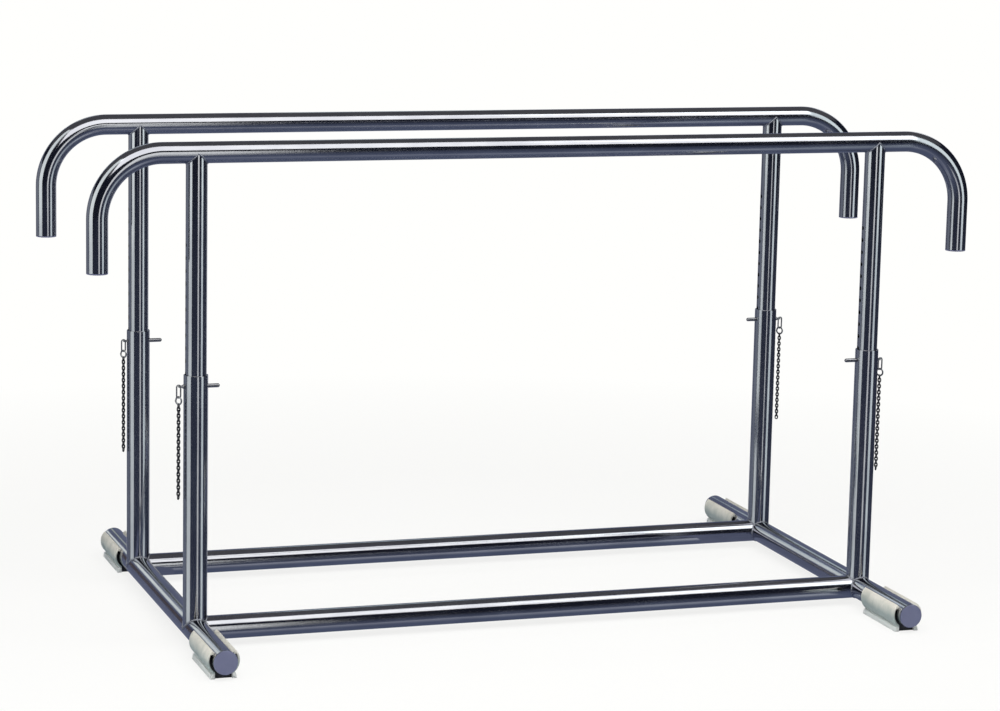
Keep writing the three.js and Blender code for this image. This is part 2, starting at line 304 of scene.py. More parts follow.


# The welds, the end plugs and the near-black solids in the feet, which are painted shade for their
# hollows: marks tint them, and a grain gives their roughness and bump
plainSet = {
    "plated_weld": {
        "dark": (0.30, 0.30, 0.34, 1),
        "pale": (0.52, 0.53, 0.57, 1),
        "metallic": 1.0,
        "marks": (170.0, 2.0, 0.5),
        "marksRange": (0.0, 1.0),
        "grain": (900.0, 3.0, 0.6),
        "roughnessRange": (0.3, 0.7, 0.16, 0.3),
        "depth": 0.2 * mm,
    },
    "grey_plug_plastic": {
        "dark": (0.125, 0.138, 0.235, 1),
        "pale": (0.155, 0.168, 0.275, 1),
        "metallic": 0.0,
        "marks": (60.0, 3.0, 0.5),
        "marksRange": (0.0, 1.0),
        "grain": (1800.0, 2.0, 0.6),
        "roughnessRange": (0.3, 0.7, 0.38, 0.52),
        "depth": 0.1 * mm,
    },
    # painted shade: near-black, for the solid that fills the feet's hollows
    "hollow_shade_black": {
        "dark": (0.014, 0.015, 0.019, 1),
        "pale": (0.04, 0.042, 0.05, 1),
        "metallic": 0.0,
        "marks": (120.0, 4.0, 0.6),
        "marksRange": (0.4, 0.75),
        "grain": (2000.0, 2.0, 0.6),
        "roughnessRange": (0.3, 0.7, 0.55, 0.75),
        "depth": 0.15 * mm,
    },
}


def plainMaterial(name):
    material, sheet = newMaterial(name)
    finish, spot = plainSet[name], ownSpot(sheet)
    marks = spot.noise(*finish["marks"]).between(*finish["marksRange"])
    grain = spot.noise(*finish["grain"])
    return finishMaterial(material, sheet, {
        "Base Color": marks.colours(finish["dark"], finish["pale"]),
        "Metallic": finish["metallic"],
        "Roughness": grain.between(*finish["roughnessRange"]),
    }, grain, finish["depth"])


chrome = chromeMaterial()
boreSteel = boreMaterial()
platedWeld = plainMaterial("plated_weld")
zinc = zincMaterial("bright_zinc")
dullZinc = zincMaterial("dulled_zinc")
cream = creamMaterial()
plugPlastic = plainMaterial("grey_plug_plastic")
hollowShadeBlack = plainMaterial("hollow_shade_black")
print("materials made")

# How near to each other vertices are merged
fineGap = 1e-6
wideGap = 1e-5

# What the tubes share
tubeSet = {
    "mainWall": 2.75 * mm,
    "slideWall": 2.8 * mm,
    "steps": 72,
    "rimShare": 0.3,  # how far a softened rim's middle is drawn in, as a share of its width
    "boreShare": 0.6,  # a face deeper in the wall than this share of it is bore
    "sharpAngle": 32,
    "lap": 0.2 * mm,  # how deep a coped end goes into the tube that it meets
    "endBand": 1 * mm,  # how near its end a vertex is drawn to the cope
    "pinHeight": 525 * mm,
    "pinHole": 4.5 * mm,
    "drillReach": 30 * mm,
    "drillSides": 24,
}

# Sizes and places that the frame gives
postLow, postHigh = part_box("outer_post_near_right")
crossLow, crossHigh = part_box("base_cross_tube_left")
slideLow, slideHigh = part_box("handrail_near")
baseHeight = (crossLow.z + crossHigh.z) / 2
mainRadius = (crossHigh.z - crossLow.z) / 2
slideRadius = (slideHigh.y - slideLow.y) / 2
postX = (postLow.x + postHigh.x) / 2
postY = -(slideLow.y + slideHigh.y) / 2
railHeight = slideHigh.z - slideRadius
mainWall, slideWall, pinHeight = tubeSet["mainWall"], tubeSet["slideWall"], tubeSet["pinHeight"]
tubeSteps, lap = tubeSet["steps"], tubeSet["lap"]


# Mesh helpers
def smooth(mesh, sharpAngle):
    mesh.polygons.foreach_set("use_smooth", [True] * len(mesh.polygons))
    mesh.set_sharp_from_angle(angle=math.radians(sharpAngle))


def bmObject(name, bm, materials, sharpAngle=tubeSet["sharpAngle"]):
    mesh = bpy.data.meshes.new(name)
    bm.to_mesh(mesh)
    bm.free()
    for material in materials:
        mesh.materials.append(material)
    smooth(mesh, sharpAngle)
    obj = bpy.data.objects.new(name, mesh)
    scene.collection.objects.link(obj)
    return obj


# A finished piece's object stays at the origin: its place goes into its mesh
def settle(obj, matrix, body, slot, *nodes):
    obj.data.transform(matrix)
    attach(obj, body)
    if nodes:
        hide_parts(*nodes)


def vertsOf(items):
    return [item for item in items if isinstance(item, bmesh.types.BMVert)]


def edgesOf(items):
    return [item for item in items if isinstance(item, bmesh.types.BMEdge)]


# Carries geometry round an axis; gives what its last step made
def spun(bm, geom, centre, axis, angle, steps, merge=False, rise=0.0):
    return bmesh.ops.spin(
        bm, geom=geom, cent=centre, axis=axis, dvec=(0, rise, 0), angle=angle, space=Matrix(),
        steps=steps, use_merge=merge, use_normal_flip=False, use_duplicate=False,
    )["geom_last"]


# A vertex carried round a centre in the XZ plane leaves an arc of edges; gives its last vertex
def arc(bm, vert, centre, angle, steps):
    return vertsOf(spun(bm, [vert], (centre[0], 0, centre[1]), (0, 1, 0), angle, steps))[0]


def lineTo(bm, vert, x, z):
    end = bm.verts.new((x, 0, z))
    bm.edges.new((vert, end))
    return end


def outwards(bm):
    bmesh.ops.recalc_face_normals(bm, faces=bm.faces[:])


def merged(bm, gap):
    bmesh.ops.remove_doubles(bm, verts=bm.verts[:], dist=gap)


def mirrored(bm, gap):
    whole = bm.verts[:] + bm.edges[:] + bm.faces[:]
    bmesh.ops.mirror(bm, geom=whole, matrix=Matrix(), merge_dist=gap, axis="X")


# A profile of (radius, height) points turned about Z; a closed one makes a tube, an open one a solid
def turned(points, steps, closed):
    bm = bmesh.new()
    first = bm.verts.new((points[0][0], 0, points[0][1]))
    last = first
    for radius, height in points[1:]:
        last = lineTo(bm, last, radius, height)
    if closed:
        bm.edges.new((last, first))
    spun(bm, bm.verts[:] + bm.edges[:], (0, 0, 0), (0, 0, 1), 2 * math.pi, steps, True)
    merged(bm, fineGap)
    outwards(bm)
    return bm


# The flat profile in a bmesh made a solid of this length along Y
def thickened(bm, long):
    face = bmesh.ops.contextual_create(bm, geom=bm.edges[:])["faces"]
    grown = bmesh.ops.extrude_face_region(bm, geom=face)["geom"]
    bmesh.ops.translate(bm, verts=vertsOf(grown), vec=(0, long, 0))
    outwards(bm)


# Bevels the edges round both ends of a solid along Y
def softenEnds(bm, width, segments):
    ends = [edge for edge in bm.edges if abs(edge.verts[0].co.y - edge.verts[1].co.y) < fineGap]
    bmesh.ops.bevel(
        bm, geom=[edge for edge in ends if len(edge.link_faces) == 2], offset=width,
        offset_type="OFFSET", segments=segments, profile=0.5, affect="EDGES", clamp_overlap=True,
        material=-1,
    )


# Profile of a tube along Z, with rings at some levels; each rim is softened by its width, or cut sharp
def tubeProfile(radius, wall, low, high, levels, lowSoft, highSoft):
    bore = radius - wall
    outside = [(radius, z) for z in levels]
    inside = [(bore, z) for z in reversed(levels)]
    lowRim = [(bore, low), (radius, low)]
    highRim = [(radius, high), (bore, high)]
    if lowSoft:
        mid = lowSoft * tubeSet["rimShare"]
        lowRim = [(bore, low + lowSoft), (bore + mid, low + mid), (bore + lowSoft, low)]
        lowRim += [(radius - lowSoft, low), (radius - mid, low + mid), (radius, low + lowSoft)]
    if highSoft:
        mid = highSoft * tubeSet["rimShare"]
        highRim = [(radius, high - highSoft), (radius - mid, high - mid), (radius - highSoft, high)]
        highRim += [(bore + highSoft, high), (bore + mid, high - mid), (bore, high - highSoft)]
    return lowRim + outside + highRim + inside


# Gives the steel of the bore, the second material, to the faces inside a tube
def darkenBore(bm, radius, wall, straighten):
    limit = radius - wall * tubeSet["boreShare"]
    for face in bm.faces:
        if all(straighten(vert.co).xy.length < limit for vert in face.verts):
            face.material_index = 1


# Keeps each vertex's place on its tube for the finish; the start makes each tube's marks its own
def storeRun(obj, start, straighten):
    attribute = obj.data.attributes.new("run", "FLOAT_VECTOR", "POINT")
    for index, vert in enumerate(obj.data.vertices):
        attribute.data[index].vector = straighten(vert.co) + Vector((0, 0, start))


# Drills round holes through a piece, each given by its centre, along X or Y
def drill(obj, radius, reach, centres, axis="X"):
    bm = bmesh.new()
    turn = Matrix.Rotation(math.pi / 2, 4, "Y" if axis == "X" else "X")
    for centre in centres:
        bmesh.ops.create_cone(
            bm, cap_ends=True, cap_tris=False, segments=tubeSet["drillSides"], radius1=radius,
            radius2=radius, depth=2 * reach, matrix=Matrix.Translation(centre) @ turn,
        )
    cutter = bmObject("drill", bm, [])
    change = obj.modifiers.new("holes", "BOOLEAN")
    change.object = cutter
    change.operation = "DIFFERENCE"
    change.solver = "EXACT"
    done = obj.evaluated_get(bpy.context.evaluated_depsgraph_get())
    mesh = bpy.data.meshes.new_from_object(done)
    obj.modifiers.clear()
    old = obj.data
    obj.data = mesh
    bpy.data.meshes.remove(old)
    bpy.data.objects.remove(cutter)


# Which faces and corners of a drilled tube are its round walls: how upright, how squarely out or in,
# and how near the wall's surface
wallSet = {"upright": 0.02, "facing": 0.9, "skin": 0.06 * mm}


# Round normals on the walls of a tube along Z, which drilling would leave uneven
def roundNormals(obj, radius, wall):
    mesh = obj.data
    smooth(mesh, tubeSet["sharpAngle"])
    normals = [Vector(corner.vector) for corner in mesh.corner_normals]
    squarely, skin = wallSet["facing"], wallSet["skin"]
    for polygon in mesh.polygons:
        upright = abs(polygon.normal.z) < wallSet["upright"]
        for loop in polygon.loop_indices:
            spot = mesh.vertices[mesh.loops[loop].vertex_index].co
            away = Vector((spot.x, spot.y, 0))
            size = away.length
            away.normalize()
            facing = polygon.normal.dot(away)
            if upright and facing > squarely and size > radius - skin:
                normals[loop] = away
            elif upright and facing < -squarely and size < radius - wall + skin:
                normals[loop] = -away
    mesh.normals_split_custom_set([tuple(normal) for normal in normals])


# A chrome tube from a bmesh along Z, with a dark bore and pin holes at some heights
def addTube(name, bm, radius, wall, start, matrix, body, node, holes=()):
    darkenBore(bm, radius, wall, Vector)
    obj = bmObject(name, bm, [chrome, boreSteel])
    if holes:
        drill(obj, tubeSet["pinHole"], tubeSet["drillReach"], [(0, 0, height) for height in holes])
        roundNormals(obj, radius, wall)
    storeRun(obj, start, Vector)
    settle(obj, matrix, body, "tube_chrome", node)


# A weld bead: a cord laid along a closed path, with ripples, and slower swells of its thickness
beadSet = {
    "ripplePoints": 6,  # of the path to a ripple
    "ripple": 0.13,
    "swell": 0.08,
    "swells": 5,
    "swellStart": 1,
    "roundness": 2,
}


def addBead(name, path, thickness, body):
    ripples = round(len(path) / beadSet["ripplePoints"])
    curve = bpy.data.curves.new(name, "CURVE")
    curve.dimensions = "3D"
    curve.bevel_depth = thickness / 2
    curve.bevel_resolution = beadSet["roundness"]
    spline = curve.splines.new("POLY")
    spline.points.add(len(path) - 1)
    for index, spot in enumerate(path):
        phase = 2 * math.pi * index / len(path)
        ripple = beadSet["ripple"] * math.sin(ripples * phase)
        swell = beadSet["swell"] * math.sin(beadSet["swells"] * phase + beadSet["swellStart"])
        spline.points[index].co = (*spot, 1)
        spline.points[index].radius = 1 + ripple + swell
    spline.use_cyclic_u = True
    draft = bpy.data.objects.new(name + "_path", curve)
    scene.collection.objects.link(draft)
    mesh = bpy.data.meshes.new_from_object(draft.evaluated_get(bpy.context.evaluated_depsgraph_get()))
    bpy.data.objects.remove(draft)
    mesh.materials.clear()
    mesh.materials.append(platedWeld)
    mesh.polygons.foreach_set("use_smooth", [True] * len(mesh.polygons))
    obj = bpy.data.objects.new(name, mesh)
    scene.collection.objects.link(obj)
    settle(obj, Matrix(), body, "tube_chrome")


# Closed path over a tube's circle; the rule gives a point from the circle's two coordinates
def seamPath(steps, radius, rule):
    turns = [2 * math.pi * index / steps for index in range(steps)]
    return [rule(radius * math.cos(turn), radius * math.sin(turn)) for turn in turns]


# Cross tubes of the floor frame, along Y
crossTubeSet = {
    "rim": 0.6 * mm,
    "ring": 3 * mm,  # from a rim to a ring that keeps the wall's shading straight
    "plugFlange": 1.2 * mm,
    "plugGap": 0.05 * mm,
    "start": 1,  # of the chrome's marks, times the side's sign, as for the other tubes
}


def addCrossTube(side, sign):
    node = "base_cross_tube_" + side
    low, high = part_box(node)
    room = crossTubeSet["plugFlange"] + crossTubeSet["plugGap"]  # for the plug's flange at each end
    rim, ring = crossTubeSet["rim"], crossTubeSet["ring"]
    levels = [low.y + room + ring, high.y - room - ring]
    profile = tubeProfile(mainRadius, mainWall, low.y + room, high.y - room, levels, rim, rim)
    bm = turned(profile, tubeSteps, True)
    matrix = Matrix.Translation((sign * postX, 0, baseHeight)) @ Matrix.Rotation(-math.pi / 2, 4, "X")
    start = crossTubeSet["start"] * sign
    addTube("cross_tube_" + side, bm, mainRadius, mainWall, start, matrix, "base", node)


for side, sign in (("left", -1), ("right", 1)):
    addCrossTube(side, sign)

# Long rails of the floor frame, along X, coped against the cross tubes
longRailSet = {"start": 3}


def addLongRail(side, sign):
    node = "base_long_rail_" + side
    bm = turned(tubeProfile(mainRadius, mainWall, -postX, postX, [], 0, 0), tubeSteps, True)
    for vert in bm.verts:  # each end is drawn back to the cross tube's surface
        up = min(abs(vert.co.x), mainRadius)
        depth = math.sqrt(mainRadius ** 2 - up ** 2) - lap
        vert.co.z -= math.copysign(max(depth, 0), vert.co.z)
    matrix = Matrix.Translation((0, sign * postY, baseHeight)) @ Matrix.Rotation(math.pi / 2, 4, "Y")
    start = longRailSet["start"] * sign
    addTube("long_rail_" + side, bm, mainRadius, mainWall, start, matrix, "base", node)


for side, sign in (("near", -1), ("far", 1)):
    addLongRail(side, sign)

# Outer posts: the foot straddles the cross tube and the long rail, and a cross hole takes the pin
outerPostSet = {
    "rim": 0.9 * mm,
    "ring": 12 * mm,  # from the pin's hole to a ring over and under it
    "bead": 3.6 * mm,
    "seamSteps": 360,
    "start": (5, 11),
}


def saddleHeight(x, y, towards):
    across = math.sqrt(max(mainRadius ** 2 - x ** 2, 0))
    along = math.sqrt(max(mainRadius ** 2 - y ** 2, 0)) if x * towards > 0 else 0
    return max(across, along)


def addOuterPost(corner, sx, sy):
    node = "outer_post_" + corner
    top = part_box(node)[1].z
    levels = [pinHeight - outerPostSet["ring"], pinHeight + outerPostSet["ring"]]
    profile = tubeProfile(mainRadius, mainWall, baseHeight, top, levels, 0, outerPostSet["rim"])
    bm = turned(profile, tubeSteps, True)
    for vert in bm.verts:
        if vert.co.z < baseHeight + tubeSet["endBand"]:
            vert.co.z += saddleHeight(vert.co.x, vert.co.y, -sx) - lap
    start = outerPostSet["start"][0] * sx + outerPostSet["start"][1] * sy
    matrix = Matrix.Translation((sx * postX, sy * postY, 0))
    name = "outer_post_tube_" + corner
    addTube(name, bm, mainRadius, mainWall, start, matrix, "base", node, [pinHeight])

    def postSeam(x, y):
        return sx * postX + x, sy * postY + y, baseHeight + saddleHeight(x, y, -sx)

    def railSeam(y, z):
        return sx * (postX - abs(y)), sy * postY + y, baseHeight + z

    for weld, rule in (("post_weld_", postSeam), ("rail_weld_", railSeam)):
        path = seamPath(outerPostSet["seamSteps"], mainRadius, rule)
        addBead(weld + corner, path, outerPostSet["bead"], "base")


for corner, (sx, sy) in corners.items():
    addOuterPost(corner, sx, sy)
print("floor frame built")

# Handrails: one tube with a quarter bend and a short drop at each end
handrailSet = {"bend": 127 * mm, "bendSteps": 36, "start": 17}


def sectionEdges(bm, spot):
    edges = set()
    for radius in (slideRadius, slideRadius - slideWall):
        made = bmesh.ops.create_circle(
            bm, segments=tubeSteps, radius=radius, matrix=Matrix.Translation(spot))
        edges.update(edge for vert in made["verts"] for edge in vert.link_edges)
    return list(edges)


# Draws loops of edges out into walls; gives the loops at their new ends
def drawnOut(bm, edges, by):
    made = bmesh.ops.extrude_edge_only(bm, edges=edges)["geom"]
    verts = vertsOf(made)
    bmesh.ops.translate(bm, verts=verts, vec=by)
    return [edge for edge in edgesOf(made) if all(vert in verts for vert in edge.verts)]


def vertsOn(edges):
    return {vert for edge in edges for vert in edge.verts}


def addHandrail(side, sign):
    node = "handrail_" + side
    bend = handrailSet["bend"]
    reach = slideHigh.x - slideRadius
    straight = reach - bend
    dropTop = railHeight - bend
    dropEnd = slideLow.z
    bm = bmesh.new()
    edges = sectionEdges(bm, (reach, 0, dropEnd))
    bmesh.ops.bridge_loops(bm, edges=edges)
    end = drawnOut(bm, edges, (0, 0, dropTop - dropEnd))
    last = spun(bm, list(vertsOn(end)) + end, (straight, 0, dropTop), (0, -1, 0), math.pi / 2,
                handrailSet["bendSteps"])
    middle = drawnOut(bm, edgesOf(last), (-straight, 0, 0))
    for vert in vertsOn(middle):
        vert.co.x = 0
    mirrored(bm, wideGap)
    merged(bm, fineGap)
    outwards(bm)

    def straighten(co):
        x, z = abs(co.x), co.z - dropTop
        if x <= straight:
            along, out = x, z - bend
        elif z < 0:
            along, out = straight + bend * math.pi / 2 - z, x - reach
        else:
            away = Vector((x - straight, z))
            along = straight + bend * math.atan2(away.x, away.y)
            out = away.length - bend
        return Vector((co.y, out, math.copysign(along, co.x)))

    darkenBore(bm, slideRadius, slideWall, straighten)
    obj = bmObject("handrail_tube_" + side, bm, [chrome, boreSteel])
    storeRun(obj, handrailSet["start"] * sign, straighten)
    settle(obj, Matrix.Translation((0, sign * postY, 0)), "rail_" + side, "tube_chrome", node)


# Inner posts, drilled for the pin, and drawn up to the underside of the handrail
innerPostSet = {
    "rim": 0.8 * mm,
    "pitch": 25.4 * mm,
    "above": 11,  # holes over the one with the pin
    "below": 1,
    "bead": 3.2 * mm,
    "seamSteps": 300,
    "start": (7, 13),
}


def addInnerPost(corner, sx, sy, rail):
    node = "inner_post_" + corner
    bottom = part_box(node)[0].z
    pitch = innerPostSet["pitch"]
    holes = [pinHeight + k * pitch for k in range(-innerPostSet["below"], innerPostSet["above"] + 1)]
    levels = [holes[0] - pitch / 2] + [height + pitch / 2 for height in holes]
    profile = tubeProfile(slideRadius, slideWall, bottom, railHeight, levels, innerPostSet["rim"], 0)
    bm = turned(profile, tubeSteps, True)
    for vert in bm.verts:
        if vert.co.z > railHeight - tubeSet["endBand"]:
            vert.co.z -= math.sqrt(max(slideRadius ** 2 - vert.co.y ** 2, 0)) - lap
    start = innerPostSet["start"][0] * sx + innerPostSet["start"][1] * sy
    matrix = Matrix.Translation((sx * postX, sy * postY, 0))
    name = "inner_post_tube_" + corner
    addTube(name, bm, slideRadius, slideWall, start, matrix, rail, node, holes)

    def handrailSeam(x, y):
        return sx * postX + x, sy * postY + y, railHeight - abs(x)

    path = seamPath(innerPostSet["seamSteps"], slideRadius, handrailSeam)
    addBead("handrail_weld_" + corner, path, innerPostSet["bead"], rail)


for side, sign in (("near", -1), ("far", 1)):
    addHandrail(side, sign)
for corner, (sx, sy) in corners.items():
    addInnerPost(corner, sx, sy, "rail_near" if sy < 0 else "rail_far")
print("handrails and inner posts built")

# End plugs of the cross tubes: an insert, and a thin flange that covers the tube's cut end
crossPlugSet = {
    "rim": 0.9 * mm,
    "rimSteps": 4,
    "inset": 0.25 * mm,  # of the flange's edge from the tube's wall
    "dish": 0.35 * mm,  # how far the face is hollow in the middle
    "dishRing": (0.55, 0.7),  # a ring in the dish: its share of the radius and of the dish's depth
    "steps": 64,
}


def addCrossPlug(corner, sx, sy):
    node = "cross_tube_plug_" + corner
    low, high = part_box(node)
    insert, depth = (high.x - low.x) / 2, high.y - low.y
    radius, flange = mainRadius - crossPlugSet["inset"], crossTubeSet["plugFlange"]
    rim, steps = crossPlugSet["rim"], crossPlugSet["rimSteps"]
    dish, (ringRadius, ringDepth) = crossPlugSet["dish"], crossPlugSet["dishRing"]
    points = [(0, 0), (insert, 0), (insert, depth - flange), (radius, depth - flange)]
    points.append((radius, depth - rim))
    for index in range(1, steps + 1):
        angle = index / steps * math.pi / 2
        points.append((radius - rim + rim * math.cos(angle), depth - rim + rim * math.sin(angle)))
    points += [(radius * ringRadius, depth - dish * ringDepth), (0, depth - dish)]
    bm = turned(points, crossPlugSet["steps"], False)
    obj = bmObject("tube_end_disc_" + corner, bm, [plugPlastic])
    outer = low.y if sy < 0 else high.y
    turn = Matrix.Rotation(-sy * math.pi / 2, 4, "X")
    matrix = Matrix.Translation((sx * postX, outer - sy * depth, baseHeight)) @ turn
    settle(obj, matrix, "base", "plug_plastic", node)


# Plugs of the handrail ends: a flange under the tube and an insert in it
railPlugSet = {
    "gap": 0.3 * mm,  # between the insert and the bore
    "rim": 0.8 * mm,
    "flange": 2.5 * mm,
    "flangeEdge": 0.2 * mm,
    "insertEdge": 1 * mm,
    "steps": 64,
}


def addRailPlug(corner, sy):
    node = "handrail_plug_" + corner
    low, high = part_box(node)
    flange, flangeEdge = railPlugSet["flange"], railPlugSet["flangeEdge"]
    rim, tip = railPlugSet["rim"], railPlugSet["insertEdge"]
    soft = tubeSet["rimShare"] * rim
    insert, top = slideRadius - slideWall - railPlugSet["gap"], high.z - low.z
    points = [(0, 0), (slideRadius - rim, 0), (slideRadius - soft, soft), (slideRadius, rim)]
    points += [(slideRadius, flange - flangeEdge), (slideRadius - flangeEdge, flange), (insert, flange)]
    points += [(insert, top - tip), (insert - tip, top), (0, top)]
    bm = turned(points, railPlugSet["steps"], False)
    obj = bmObject("rail_end_plug_" + corner, bm, [plugPlastic])
    matrix = Matrix.Translation(((low.x + high.x) / 2, (low.y + high.y) / 2, low.z))
    settle(obj, matrix, "rail_near" if sy < 0 else "rail_far", "plug_plastic", node)


for corner, (sx, sy) in corners.items():
    addCrossPlug(corner, sx, sy)
    addRailPlug(corner, sy)
print("plugs built")

# Feet: a sprung half shell with lips, on a flat pad; its angles are from straight up over the tube
footSet = {
    "shell": 32 * mm,
    "seat": 24.3 * mm,
    "wall": 3.8 * mm,
    "lipTaper": 1.2 * mm,
    "lipAngle": 48,
    "gripAngle": 60,
    "gripSteps": 4,
    "bayAngle": 65,  # where the hollow under the grip starts
    "padTop": 48 * mm,
    "padWidth": 52 * mm,
    "padHeight": 10.5 * mm,
    "padEdge": 0.4 * mm,
    "groove": 0.9 * mm,
    "grooveWidth": 2.7 * mm,
    "opening": 17 * mm,  # half the width that the near-black shade fill takes
    "edge": 0.7 * mm,
    "edgeSegments": 3,
    "steps": 16,
    "sharpAngle": 38,
}
# The near-black solid in each foot's hollow, painted shade for the inside of the foot: its gap, its
# inset from the ends, and angles
hollowShadeSet = {"gap": 0.1 * mm, "inset": 6 * mm, "topAngle": 72, "seatAngle": 74}


def polar(radius, degrees):
    angle = math.radians(degrees)
    return Vector((radius * math.sin(angle), baseHeight + radius * math.cos(angle)))


# Centre and turn of the arc through three points
def arcThrough(a, b, c):
    d = 2 * (a.x * (b.y - c.y) + b.x * (c.y - a.y) + c.x * (a.y - b.y))
    aa, bb, cc = a.length_squared, b.length_squared, c.length_squared
    centre = Vector((
        (aa * (b.y - c.y) + bb * (c.y - a.y) + cc * (a.y - b.y)) / d,
        (aa * (c.x - b.x) + bb * (a.x - c.x) + cc * (b.x - a.x)) / d,
    ))
    first, last = a - centre, c - centre
    turn = math.atan2(first.x * last.y - first.y * last.x, first.dot(last))
    return centre, turn


def arcBy(bm, vert, middle, end, steps):
    start = Vector((vert.co.x, vert.co.z))
    centre, turn = arcThrough(start, middle, end)
    return arc(bm, vert, centre, -turn, steps)


# An arc about the tube's axis, from where the vertex is, at one radius
def arcTo(bm, vert, radius, start, end, steps):
    return arcBy(bm, vert, polar(radius, (start + end) / 2), polar(radius, end), steps)


def addFootShell(corner, floorAngle):
    node = "foot_" + corner
    low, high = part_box(node)
    shell, seat, steps = footSet["shell"], footSet["seat"], footSet["steps"]
    inside, taper, pad = shell - footSet["wall"], footSet["lipTaper"], footSet["padHeight"]
    lip, grip, bay = footSet["lipAngle"], footSet["gripAngle"], footSet["bayAngle"]
    bm = bmesh.new()
    first = bm.verts.new((footSet["opening"], 0, 0))
    vert = lineTo(bm, first, footSet["padWidth"] / 2, 0)
    vert = lineTo(bm, vert, footSet["padTop"] / 2 + footSet["padEdge"], pad - footSet["groove"])
    vert = lineTo(bm, vert, footSet["padTop"] / 2 - footSet["grooveWidth"], pad)
    lowAngle = 180 - math.degrees(math.acos((baseHeight - pad - footSet["groove"]) / shell))
    vert = lineTo(bm, vert, *polar(shell, lowAngle))
    vert = arcTo(bm, vert, shell, lowAngle, 90, steps)
    vert = arcBy(bm, vert, polar(shell - taper / 4, (90 + lip) / 2), polar(shell - taper, lip), steps)
    vert = lineTo(bm, vert, *polar(seat, lip))
    vert = arcTo(bm, vert, seat, lip, grip, footSet["gripSteps"])
    vert = lineTo(bm, vert, *polar(inside, bay))
    vert = arcTo(bm, vert, inside, bay, floorAngle, steps)
    bm.edges.new((vert, first))
    thickened(bm, high.y - low.y)
    softenEnds(bm, footSet["edge"], footSet["edgeSegments"])
    mirrored(bm, fineGap)
    outwards(bm)
    obj = bmObject("cradle_foot_" + corner, bm, [cream], footSet["sharpAngle"])
    matrix = Matrix.Translation(((low.x + high.x) / 2, low.y, 0))
    settle(obj, matrix, "base", "foot_plastic", node)


# A near-black solid in the foot's hollow, set in from both ends: painted shade for the inside of the
# foot
def addHollowShade(corner, floorAngle):
    low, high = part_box("foot_" + corner)
    gap, inset, steps = hollowShadeSet["gap"], hollowShadeSet["inset"], footSet["steps"]
    inside, side = footSet["shell"] - footSet["wall"] - gap, footSet["opening"] - gap
    top, seatAngle = hollowShadeSet["topAngle"], hollowShadeSet["seatAngle"]
    bm = bmesh.new()
    vert = bm.verts.new((0, 0, gap))
    vert = lineTo(bm, vert, side, gap)
    vert = lineTo(bm, vert, side, polar(inside, floorAngle).y)
    vert = arcTo(bm, vert, inside, floorAngle, top, steps)
    vert = lineTo(bm, vert, *polar(footSet["seat"], seatAngle))
    vert = arcTo(bm, vert, footSet["seat"], seatAngle, 180, steps)
    vert.co.x = 0
    mirrored(bm, wideGap)
    merged(bm, fineGap)
    thickened(bm, high.y - low.y - 2 * inset)
    softenEnds(bm, footSet["edge"], footSet["edgeSegments"])
    obj = bmObject("foot_hollow_shade_" + corner, bm, [hollowShadeBlack], footSet["sharpAngle"])
    settle(obj, Matrix.Translation(((low.x + high.x) / 2, low.y + inset, 0)), "base", "foot_plastic")


# Where the inside of the shell's wall meets the side of the near-black shade fill
hollowShadeMeets = 180 - math.degrees(math.asin(footSet["opening"] / (footSet["shell"] - footSet["wall"])))
for corner in corners:
    addFootShell(corner, hollowShadeMeets)
    addHollowShade(corner, hollowShadeMeets)
print("feet built")

# Locking pins along X: a rod with a rounded tip, and outside the post a level tab with an upright eye
pinSet = {
    "radius": 4 * mm,
    "steps": 32,
    "tipSteps": 8,
    "shoulder": 0.7 * mm,
    "eye": 2.6 * mm,
    "tab": 3.6 * mm,
    "tabLength": 4 * mm,
    "tabSteps": 16,
    "tabEdge": 0.5 * mm,
    "tabSegments": 2,
    "lap": 1 * mm,  # how deep the tab goes into the rod
    "drillReach": 10 * mm,
}


def addPin(corner, sx):
    node = "locking_pin_" + corner
    low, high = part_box(node)
    radius, long = pinSet["radius"], high.x - low.x  # the eye is one radius in from the outer end
    shoulder, edge, tipSteps = radius + pinSet["tabLength"], pinSet["shoulder"], pinSet["tipSteps"]
    points = [(0, shoulder), (radius - edge, shoulder), (radius, shoulder + edge)]
    for index in range(tipSteps + 1):
        angle = index / tipSteps * math.pi / 2
        points.append((radius * math.cos(angle), long - radius + radius * math.sin(angle)))
    rod = turned(points, pinSet["steps"], False)
    upset = Matrix.Rotation(math.pi / 2, 3, "Y")
    bmesh.ops.rotate(rod, verts=rod.verts[:], cent=(0, 0, 0), matrix=upset)
    tab = bmesh.new()
    first = tab.verts.new((shoulder + pinSet["lap"], 0, radius))
    vert = lineTo(tab, first, radius, radius)
    vert = arc(tab, vert, (radius, 0), -math.pi, pinSet["tabSteps"])
    vert = lineTo(tab, vert, shoulder + pinSet["lap"], -radius)
    tab.edges.new((vert, first))
    bmesh.ops.translate(tab, verts=tab.verts[:], vec=(0, -pinSet["tab"] / 2, 0))
    thickened(tab, pinSet["tab"])
    softenEnds(tab, pinSet["tabEdge"], pinSet["tabSegments"])
    draft = bmObject("tab_draft", tab, [zinc])
    drill(draft, pinSet["eye"], pinSet["drillReach"], [(radius, 0, 0)], "Y")
    draft.data.transform(Matrix.Rotation(math.pi / 2, 4, "X"))
    rod.from_mesh(draft.data)
    bpy.data.objects.remove(draft)
    obj = bmObject("pull_pin_" + corner, rod, [zinc])
    turn = Matrix.Rotation(0 if sx < 0 else math.pi, 4, "Z")
    outer = low.x if sx < 0 else high.x
    matrix = Matrix.Translation((outer, (low.y + high.y) / 2, (low.z + high.z) / 2)) @ turn
    settle(obj, matrix, "pin_" + corner, "pin_steel", node)


